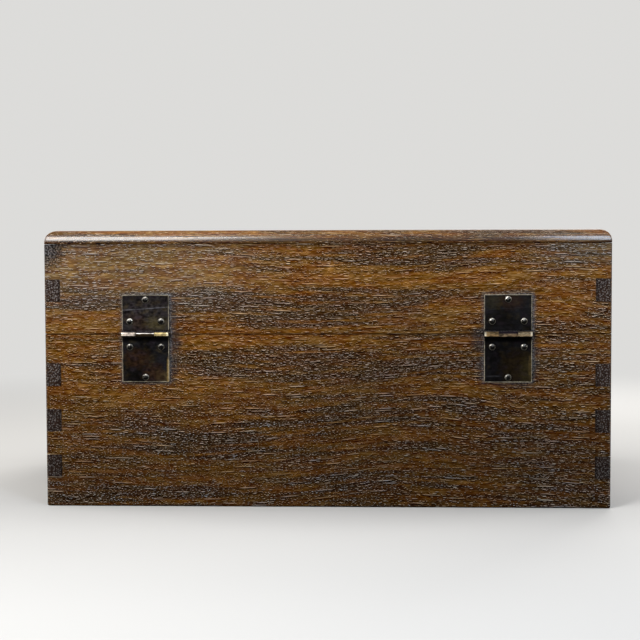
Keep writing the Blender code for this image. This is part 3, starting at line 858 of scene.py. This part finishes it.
def settle(piece, material, body, slot, *nodes):
    """Gives a piece its material and body and hides the nodes it replaces; the slot is not used."""
    piece.data.materials.clear()
    piece.data.materials.append(material)
    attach(piece, body)
    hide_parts(*nodes)


def mark_faces(piece, name, measure):
    """Stores a value from 0 to 1 on each face for the look to read."""
    layer = piece.data.attributes.new(name, "FLOAT", "FACE")
    for polygon in piece.data.polygons:
        layer.data[polygon.index].value = measure(polygon.center, polygon.normal)


INSIDE_MARGIN = 0.0012
RIM_MARGIN = 0.0004
LID_TOP_FLAT = 0.176
LEVEL = 0.9
END_GRAIN_START = 0.6
END_GRAIN_SPAN = 0.3

LID_EDGE_START = 0.1689
LID_EDGE_LEAN = (0.02, 0.62)
TOP_LEAN = 0.985
CORNER_LEAN = (0.2, 0.98)
BACK_LEAN = 0.2
BACK_EDGE_POLISH = 0.92
OTHER_EDGE_POLISH = 0.5
CORNER_POLISH = 0.3
TOP_POLISH = 0.12
LID_POLISH = 0.1


def is_inside(centre, normal):
    """1 on the inner faces and the rims, which are left bare."""
    on_top = centre.z > LID_TOP_FLAT and normal.z > LEVEL
    on_rim = abs(centre.z - HINGE_AXIS_Z) < RIM_MARGIN and abs(normal.z) > LEVEL
    within_x = abs(centre.x) < WALL_INNER_X + INSIDE_MARGIN
    within_y = abs(centre.y) < WALL_INNER_Y + INSIDE_MARGIN
    return float(on_rim or (within_x and within_y and not on_top))


def end_grain_along(axis):
    def measure(centre, normal):
        return max(0.0, min(1.0, (abs(normal[axis]) - END_GRAIN_START) / END_GRAIN_SPAN))

    return measure


def edge_polish(centre, normal):
    """Handling has polished the rounded edge of the lid most."""
    if centre.z < LID_EDGE_START:
        low, high = CORNER_LEAN
        on_corner = low < abs(normal.x) < high and low < abs(normal.y) < high
        return CORNER_POLISH if on_corner else 0.0
    if normal.z > TOP_LEAN:
        return TOP_POLISH
    low, high = LID_EDGE_LEAN
    if low < normal.z < high:
        return BACK_EDGE_POLISH if normal.y > BACK_LEAN else OTHER_EDGE_POLISH
    return LID_POLISH


def board(name, body, node, material, grain_axis, slot="outer_wood", shape=None):
    piece = new_object(name, shape or welded(node))
    soften(piece)
    mark_faces(piece, "polish", edge_polish)
    mark_faces(piece, "end_grain", end_grain_along(grain_axis))
    mark_faces(piece, "inside", is_inside)
    settle(piece, material, body, slot, node)


def rounded_outline(half_x, half_y, radius):
    points = []
    for turn, (sign_x, sign_y) in enumerate(((1, 1), (-1, 1), (-1, -1), (1, -1))):
        for step in range(CORNER_STEPS + 1):
            angle = math.radians(90 * turn + 90 * step / CORNER_STEPS)
            px = sign_x * (half_x - radius) + radius * math.cos(angle)
            py = sign_y * (half_y - radius) + radius * math.sin(angle)
            points.append((px, py))
    return points


def lofted(rings):
    """A closed solid through rings of equally many points."""
    shape = bmesh.new()
    loops = [[shape.verts.new(point) for point in ring] for ring in rings]
    count = len(rings[0])
    for lower, upper in zip(loops, loops[1:]):
        for index in range(count):
            after = (index + 1) % count
            shape.faces.new((lower[index], lower[after], upper[after], upper[index]))
    shape.faces.new(list(reversed(loops[0])))
    shape.faces.new(loops[-1])
    bmesh.ops.recalc_face_normals(shape, faces=shape.faces)
    return shape


LID_ROUND = 0.007
LID_ROUND_STEPS = 14
LID_CORNER = 0.0012
LID_FIELD_INSET = 0.0103
LID_FIELD_DEPTH = 0.003
LID_LOWER_EASE = 0.0003


def lid_top_shape():
    """The top board: a field that drops inside the walls, and a rounded edge above them."""
    low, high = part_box("lid_top_board")
    ledge = low.z + LID_FIELD_DEPTH
    spring = high.z - LID_ROUND
    steps = [(LID_FIELD_INSET, low.z), (LID_FIELD_INSET, ledge)]
    steps += [(LID_LOWER_EASE, ledge), (0.0, ledge + LID_LOWER_EASE), (0.0, spring)]
    for step in range(1, LID_ROUND_STEPS + 1):
        angle = math.radians(90 * step / LID_ROUND_STEPS)
        inset = LID_ROUND * (1 - math.cos(angle))
        steps.append((inset, spring + LID_ROUND * math.sin(angle)))
    rings = []
    for inset, height in steps:
        outline = rounded_outline(high.x - inset, high.y - inset, LID_CORNER)
        rings.append([(px, py, height) for px, py in outline])
    return lofted(rings)


def combine(piece, other, operation):
    """Joins another shape to the piece or takes it out of it, and uses that shape up."""
    change = piece.modifiers.new("join", "BOOLEAN")
    change.operation = operation
    change.solver = "EXACT"
    change.object = other
    bake(piece)
    bpy.data.objects.remove(other)


def prism_along_x(name, profile, start, end):
    rings = [[(px, py, pz) for py, pz in profile] for px in (start, end)]
    return new_object(name, lofted(rings))


def leaf_blank(name, centre_x, low_z, high_z):
    """The flat sheet of a hinge leaf."""
    middle = (low_z + high_z) / 2
    outline = rounded_outline(HINGE_WIDTH / 2, (high_z - low_z) / 2, LEAF_CORNER)
    faces = (LEAF_BACK, LEAF_FRONT)
    rings = [[(centre_x + px, py, middle + pz) for px, pz in outline] for py in faces]
    return new_object(name, lofted(rings))


def circle_points(centre_y, centre_z, radius):
    turns = [2 * math.pi * side / ROUND_SIDES for side in range(ROUND_SIDES)]
    return [(centre_y + radius * math.cos(t), centre_z + radius * math.sin(t)) for t in turns]


def rolled_profile(up):
    """The end view of a knuckle: the leaf's sheet rolled round the pin."""
    meet = math.acos((BARREL_RADIUS - LEAF_THICK) / -BARREL_RADIUS)
    start = math.pi
    end = 2 * math.pi + meet
    points = [(LEAF_BACK, HINGE_AXIS_Z + up * ROLL_REACH)]
    for step in range(ROLL_STEPS + 1):
        angle = start + (end - start) * step / ROLL_STEPS
        py = HINGE_AXIS_Y + BARREL_RADIUS * math.cos(angle)
        pz = HINGE_AXIS_Z + up * BARREL_RADIUS * math.sin(angle)
        points.append((py, pz))
    points.append((LEAF_FRONT, HINGE_AXIS_Z + up * ROLL_REACH))
    return points


def hinge_leaf(name, body, node, centre_x, up, knuckles, material):
    """A leaf with its knuckles; up is 1 above the pin and -1 below it."""
    low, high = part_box(node)
    near = HINGE_AXIS_Z + up * (BARREL_RADIUS + BARREL_GAP)
    far = high.z if up > 0 else low.z
    leaf = leaf_blank(name, centre_x, min(near, far), max(near, far))
    for start, end in knuckles:
        roll = prism_along_x("roll", rolled_profile(up), centre_x + start, centre_x + end)
        combine(leaf, roll, "UNION")
    soften(leaf, LEAF_EDGE)
    circle = circle_points(HINGE_AXIS_Y, HINGE_AXIS_Z, BORE_RADIUS)
    bore = prism_along_x("bore", circle, centre_x - BORE_REACH, centre_x + BORE_REACH)
    combine(leaf, bore, "DIFFERENCE")
    settle(leaf, material, body, "dark_brass", node)


def rod(name, body, node, material):
    """A turned pin along X with domed ends."""
    low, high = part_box(node)
    middle_y = (low.y + high.y) / 2
    middle_z = (low.z + high.z) / 2
    stations = [(low.x + inset, share) for inset, share in PIN_DOME]
    stations += [(high.x - inset, share) for inset, share in reversed(PIN_DOME)]
    rings = []
    for px, share in stations:
        circle = circle_points(middle_y, middle_z, PIN_RADIUS * share)
        rings.append([(px, py, pz) for py, pz in circle])
    piece = new_object(name, lofted(rings))
    soften(piece)
    settle(piece, material, body, "bright_brass", node)


STRAIGHT = 0.97


def slanted(centre, normal):
    """Picks out the small faces that round the edges of a plate."""
    return float(max(abs(part) for part in normal) < STRAIGHT)


def fitting(name, body, node, material, slot, edge):
    piece = new_object(name, welded(node))
    soften(piece, edge)
    mark_faces(piece, "edges", slanted)
    settle(piece, material, body, slot, node)


NAIL_SIDES = 20
NAIL_RINGS = 5
SHANK_SIDES = 8
NAIL_SPIN = 6.283
NAIL_SEED = 7


def nail_tree():
    """Sets a domed nail on every point, turned to face outwards."""
    tree = bpy.data.node_groups.new("nail_setting", "GeometryNodeTree")
    face = tree.interface
    face.new_socket("Geometry", in_out="INPUT", socket_type="NodeSocketGeometry")
    for label in ("Head radius", "Rim", "Dome", "Shank radius", "Shank length"):
        face.new_socket(label, in_out="INPUT", socket_type="NodeSocketFloat")
    face.new_socket("Brass", in_out="INPUT", socket_type="NodeSocketMaterial")
    face.new_socket("Geometry", in_out="OUTPUT", socket_type="NodeSocketGeometry")

    def add(kind, settings=(), inputs=()):
        made = tree.nodes.new(kind)
        for key, value in dict(settings).items():
            setattr(made, key, value)
        for key, value in dict(inputs).items():
            if isinstance(value, bpy.types.NodeSocket):
                tree.links.new(value, made.inputs[key])
            else:
                made.inputs[key].default_value = value
        return made.outputs

    def maths(operation, first, second):
        return add("ShaderNodeMath", {"operation": operation}, {0: first, 1: second})[0]

    def moved(geometry, height):
        offset = add("ShaderNodeCombineXYZ", (), {2: height})[0]
        return add("GeometryNodeTransform", (), {"Geometry": geometry, "Translation": offset})[0]

    given = add("NodeGroupInput")
    head = add(
        "GeometryNodeMeshCylinder",
        {"fill_type": "TRIANGLE_FAN"},
        {"Vertices": NAIL_SIDES, "Side Segments": 1, "Fill Segments": NAIL_RINGS,
         "Radius": given["Head radius"], "Depth": given["Rim"]},
    )[0]
    place = add("GeometryNodeInputPosition")[0]
    px, py, pz = add("ShaderNodeSeparateXYZ", (), {0: place})[:3]
    flat = add("ShaderNodeCombineXYZ", (), {0: px, 1: py})[0]
    reach = add("ShaderNodeVectorMath", {"operation": "LENGTH"}, {0: flat})[1]
    share = maths("DIVIDE", reach, given["Head radius"])
    swell = maths("SUBTRACT", 1.0, maths("MULTIPLY", share, share))
    lift = maths("MULTIPLY", swell, given["Dome"])
    upper = add("FunctionNodeCompare", {"data_type": "FLOAT", "operation": "GREATER_THAN"},
                {0: pz, 1: 0.0})[0]
    offset = add("ShaderNodeCombineXYZ", (), {2: lift})[0]
    crowned = add("GeometryNodeStoreNamedAttribute", {"data_type": "FLOAT", "domain": "POINT"},
                  {"Geometry": head, "Name": "crown", "Value": swell})[0]
    domed = add("GeometryNodeSetPosition", (),
                {"Geometry": crowned, "Selection": upper, "Offset": offset})[0]
    seated = moved(domed, maths("MULTIPLY", given["Rim"], 0.5))
    shank = add(
        "GeometryNodeMeshCylinder", (),
        {"Vertices": SHANK_SIDES, "Radius": given["Shank radius"], "Depth": given["Shank length"]},
    )[0]
    driven = moved(shank, maths("MULTIPLY", given["Shank length"], -0.5))
    join = tree.nodes.new("GeometryNodeJoinGeometry")
    tree.links.new(driven, join.inputs[0])
    tree.links.new(seated, join.inputs[0])
    outward = add("GeometryNodeInputNamedAttribute", {"data_type": "FLOAT_VECTOR"},
                  {"Name": "outward"})[0]
    facing = add("FunctionNodeAlignRotationToVector", {"axis": "Z"}, {"Vector": outward})[0]
    spin = add("FunctionNodeRandomValue", {"data_type": "FLOAT"},
               {2: 0.0, 3: NAIL_SPIN, "Seed": NAIL_SEED})[1]
    spun = add("FunctionNodeAxisAngleToRotation", (), {"Axis": (0, 0, 1), "Angle": spin})[0]
    turned = add("FunctionNodeRotateRotation", {"rotation_space": "LOCAL"},
                 {0: facing, 1: spun})[0]
    placed = add("GeometryNodeInstanceOnPoints", (),
                 {"Points": given["Geometry"], "Instance": join.outputs[0], "Rotation": turned})[0]
    real = add("GeometryNodeRealizeInstances", (), {0: placed})[0]
    smooth = add("GeometryNodeSetShadeSmooth", (), {0: real})[0]
    finished = add("GeometryNodeSetMaterial", (),
                   {"Geometry": smooth, "Material": given["Brass"]})[0]
    add("NodeGroupOutput", (), {0: finished})
    return tree


def nails(name, body, nodes, tree, material):
    """Every nail of one body as one mesh."""
    shape = bmesh.new()
    sides = []
    for node in nodes:
        low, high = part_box(node)
        side = 1.0 if high.y > 0 else -1.0
        seat = side * (WALL_OUTER_Y + NAIL_SEAT)
        shape.verts.new(((low.x + high.x) / 2, seat, (low.z + high.z) / 2))
        sides.append(side)
    piece = new_object(name, shape)
    for label in ("outward", "middle"):
        piece.data.attributes.new(label, "FLOAT_VECTOR", "POINT")
    outward = piece.data.attributes["outward"]
    middle = piece.data.attributes["middle"]
    for index, side in enumerate(sides):
        outward.data[index].vector = (0.0, side, 0.0)
        middle.data[index].vector = piece.data.vertices[index].co
    setting = piece.modifiers.new("nails", "NODES")
    setting.node_group = tree
    values = {
        "Head radius": NAIL_HEAD_RADIUS,
        "Rim": NAIL_RIM,
        "Dome": NAIL_DOME,
        "Shank radius": NAIL_SHANK_RADIUS,
        "Shank length": NAIL_SHANK_LENGTH,
        "Brass": material,
    }
    for item in tree.interface.items_tree:
        if item.in_out == "INPUT" and item.name in values:
            setting[item.identifier] = values[item.name]
    bake(piece)
    settle(piece, material, body, "bright_brass", *nodes)


back_wood = wood("back_boards_wood", "x", (310.0, 40.0, 12.0), hinged=True)
front_wood = wood("front_boards_wood", "x", (-720.0, 260.0, 55.0))
left_wood = wood("left_boards_wood", "y", (150.0, 530.0, -37.0))
right_wood = wood("right_boards_wood", "y", (-460.0, 790.0, 81.0))
top_wood = wood("top_board_wood", "top", (90.0, 1210.0, 23.0))
inner_wood = wood("inner_strips_wood", "x", (45.0, 1510.0, 66.0), bare=True)
inner_side_wood = wood("inner_side_strips_wood", "y", (45.0, 1810.0, 66.0), bare=True)
dark_brass = plain_brass("dark_brass_skin", 0.22)
bright_brass = plain_brass("bright_brass_rubbed", 0.75)
rod_brass = plain_brass("hinge_rod_brass", 0.4)
nail_heads = nail_brass("nail_head_brass")

# Each side's outer and inner wood, and the axis of its grain
SIDE_WOODS = {
    "front": (front_wood, inner_wood, 0),
    "back": (back_wood, inner_wood, 0),
    "left": (left_wood, inner_side_wood, 1),
    "right": (right_wood, inner_side_wood, 1),
}
for side, (outer_wood, strip_wood, axis) in SIDE_WOODS.items():
    for body in ("base", "lid"):
        board(f"{body}_{side}_wall", body, f"{body}_{side}_board", outer_wood, axis)
    board(f"{side}_lip_strip", "base", f"lip_{side}", strip_wood, axis, "inner_wood")
board("box_floor", "base", "bottom_panel", inner_wood, 0, "inner_wood")
board("lid_top", "lid", "lid_top_board", top_wood, 0, "outer_wood", lid_top_shape())

# Each leaf's body, side of the pin, far end and knuckles
LEAF_LEVELS = {
    "lower": ("base", -1, HINGE_FOOT, OUTER_KNUCKLES),
    "upper": ("lid", 1, HINGE_HEAD, MIDDLE_KNUCKLE),
}
for side, centre in (("left", -HINGE_X), ("right", HINGE_X)):
    for level, (body, up, end, knuckles) in LEAF_LEVELS.items():
        brass = leaf_brass(
            f"{side}_{level}_leaf_brass", centre / MM, end / MM, **LEAF_LOOKS[f"{side}_{level}"]
        )
        node = f"{side}_hinge_{body}_leaf"
        hinge_leaf(f"{side}_hinge_{level}_leaf", body, node, centre, up, knuckles, brass)
    rod(f"{side}_hinge_rod", "base", f"{side}_hinge_pin", rod_brass)

rod("hasp_rod", "base", "hasp_pin", bright_brass)
fitting("hasp_backplate", "base", "hasp_plate", dark_brass, "dark_brass", PLATE_EDGE)
fitting("hasp_strap", "hasp", "hasp", dark_brass, "dark_brass", PLATE_EDGE)
fitting("staple_backplate", "lid", "staple_plate", dark_brass, "dark_brass", PLATE_EDGE)
fitting("staple_loop", "lid", "staple", bright_brass, "bright_brass", STAPLE_EDGE)

nail_setting = nail_tree()
for body in ("base", "lid"):
    body_nodes = frame["record"]["behaviour"]["bodies"][body]
    nail_nodes = [node for node in body_nodes if "_nail_" in node]
    nails(f"{body}_nails", body, nail_nodes, nail_setting, nail_heads)


FLOOR_RADIUS = 6.0
FLOOR_SIDES = 96
FLOOR_DROP = 0.0001
FLOOR_PALE = (0.56, 0.555, 0.545)
FLOOR_BOUNCE = (0.12, 0.12, 0.12)
FLOOR_FADE = (330.0, 950.0)
ROOM_PALE = (0.72, 0.715, 0.70)
ROOM_LIGHT = 0.15
WARM_WHITE = (1.0, 0.99, 0.97)
WARMER_WHITE = (1.0, 0.98, 0.95)
SKY_BLUE = (0.72, 0.83, 1.0)

# Softboxes: place, what they face, width, height, watts and colour
LAMPS = {
    "key_softbox": ((0.32, 0.60, 0.52), (0.08, 0.11, 0.12), 0.38, 0.42, 4.75, WARM_WHITE),
    "side_softbox": ((-0.30, 0.75, 0.48), (-0.06, 0.11, 0.12), 0.14, 0.5, 2.0, SKY_BLUE),
    "overhead_softbox": ((0.0, 0.0, 1.1), (0.0, 0.0, 0.1), 0.7, 0.7, 5.0, WARM_WHITE),
    "front_softbox": ((-0.35, -0.85, 0.6), (0.0, -0.1, 0.1), 0.6, 0.5, 8.0, WARMER_WHITE),
    "left_softbox": ((-0.95, -0.1, 0.45), (-0.18, -0.02, 0.08), 0.5, 0.4, 3.5, WARM_WHITE),
    "right_softbox": ((0.95, -0.1, 0.45), (0.18, -0.02, 0.08), 0.5, 0.4, 3.5, WARM_WHITE),
}

CAMERA_PLACE = (-0.04159, 1.06384, 0.17207)
CAMERA_TURN = (-0.198, 3.145, -2.718)
CAMERA_NEAR = 0.01
SENSOR_WIDTH = 36.0
FOCAL_PIXELS = 1507.7
IMAGE_PIXELS = 640.0


def seen_directly(look):
    """1 where the camera sees a thing, also by reflection; 0 where it only gives light."""
    seen, glossy, through = look.node(
        "ShaderNodeLightPath", output=("Is Camera Ray", "Is Glossy Ray", "Is Transmission Ray")
    )
    return seen.most(glossy).most(through)


def floor():
    """A pale floor that fades into the room and throws little light on the box."""
    shape = bmesh.new()
    bmesh.ops.create_circle(shape, cap_ends=True, segments=FLOOR_SIDES, radius=FLOOR_RADIUS)
    piece = new_object("studio_floor", shape)
    piece.location.z = -FLOOR_DROP
    look = Look(bpy.data.materials.new("pale_floor"))
    direct = seen_directly(look)
    x, y, _ = look.millimetres()
    fade = ((x * x + y * y) ** 0.5).rise(*FLOOR_FADE) * direct
    colour = look.mix(direct, FLOOR_BOUNCE, FLOOR_PALE)
    near = look.node("ShaderNodeBsdfDiffuse", (), {"Color": colour})
    far = look.node("ShaderNodeEmission", (), {"Color": ROOM_PALE, "Strength": 1.0})
    look.close(look.node("ShaderNodeMixShader", (), {0: fade, 1: near, 2: far}))
    piece.data.materials.append(look.owner)


def room():
    """Pale to look at, and dim as a light."""
    look = Look(bpy.data.worlds.new("studio"))
    bpy.context.scene.world = look.owner
    strength = look.node("ShaderNodeMix", (), {0: seen_directly(look), 2: ROOM_LIGHT, 3: 1.0})
    shade = look.node("ShaderNodeBackground", (), {"Color": ROOM_PALE, "Strength": strength})
    look.close(shade, "ShaderNodeOutputWorld")


def lamp(name, place, target, width, height, power, colour):
    light = bpy.data.lights.new(name, "AREA")
    light.shape = "RECTANGLE"
    light.size = width
    light.size_y = height
    light.energy = power
    light.color = colour
    holder = bpy.data.objects.new(name, light)
    bpy.context.scene.collection.objects.link(holder)
    holder.location = place
    holder.rotation_euler = (Vector(target) - Vector(place)).to_track_quat("-Z", "Y").to_euler()
    holder.visible_camera = False


def camera():
    """Straight behind the box and slightly above it."""
    roll, pitch, yaw = (math.radians(angle) for angle in CAMERA_TURN)
    turn = Matrix.Rotation(roll, 3, "Y") @ Matrix.Rotation(pitch, 3, "X")
    turn = turn @ Matrix.Rotation(yaw, 3, "Z") @ Matrix.Rotation(math.pi, 3, "Z")
    right, forward, up = turn
    lens = bpy.data.cameras.new("camera")
    lens.sensor_width = SENSOR_WIDTH
    lens.lens = FOCAL_PIXELS / IMAGE_PIXELS * SENSOR_WIDTH
    lens.clip_start = CAMERA_NEAR
    holder = bpy.data.objects.new("camera", lens)
    bpy.context.scene.collection.objects.link(holder)
    frame_turn = Matrix((right, up, -forward)).transposed()
    holder.matrix_world = Matrix.Translation(CAMERA_PLACE) @ frame_turn.to_4x4()
    bpy.context.scene.camera = holder


floor()
room()
for name, settings in LAMPS.items():
    lamp(name, *settings)
camera()
bpy.context.scene.view_settings.view_transform = "Standard"

bpy.context.view_layer.update()
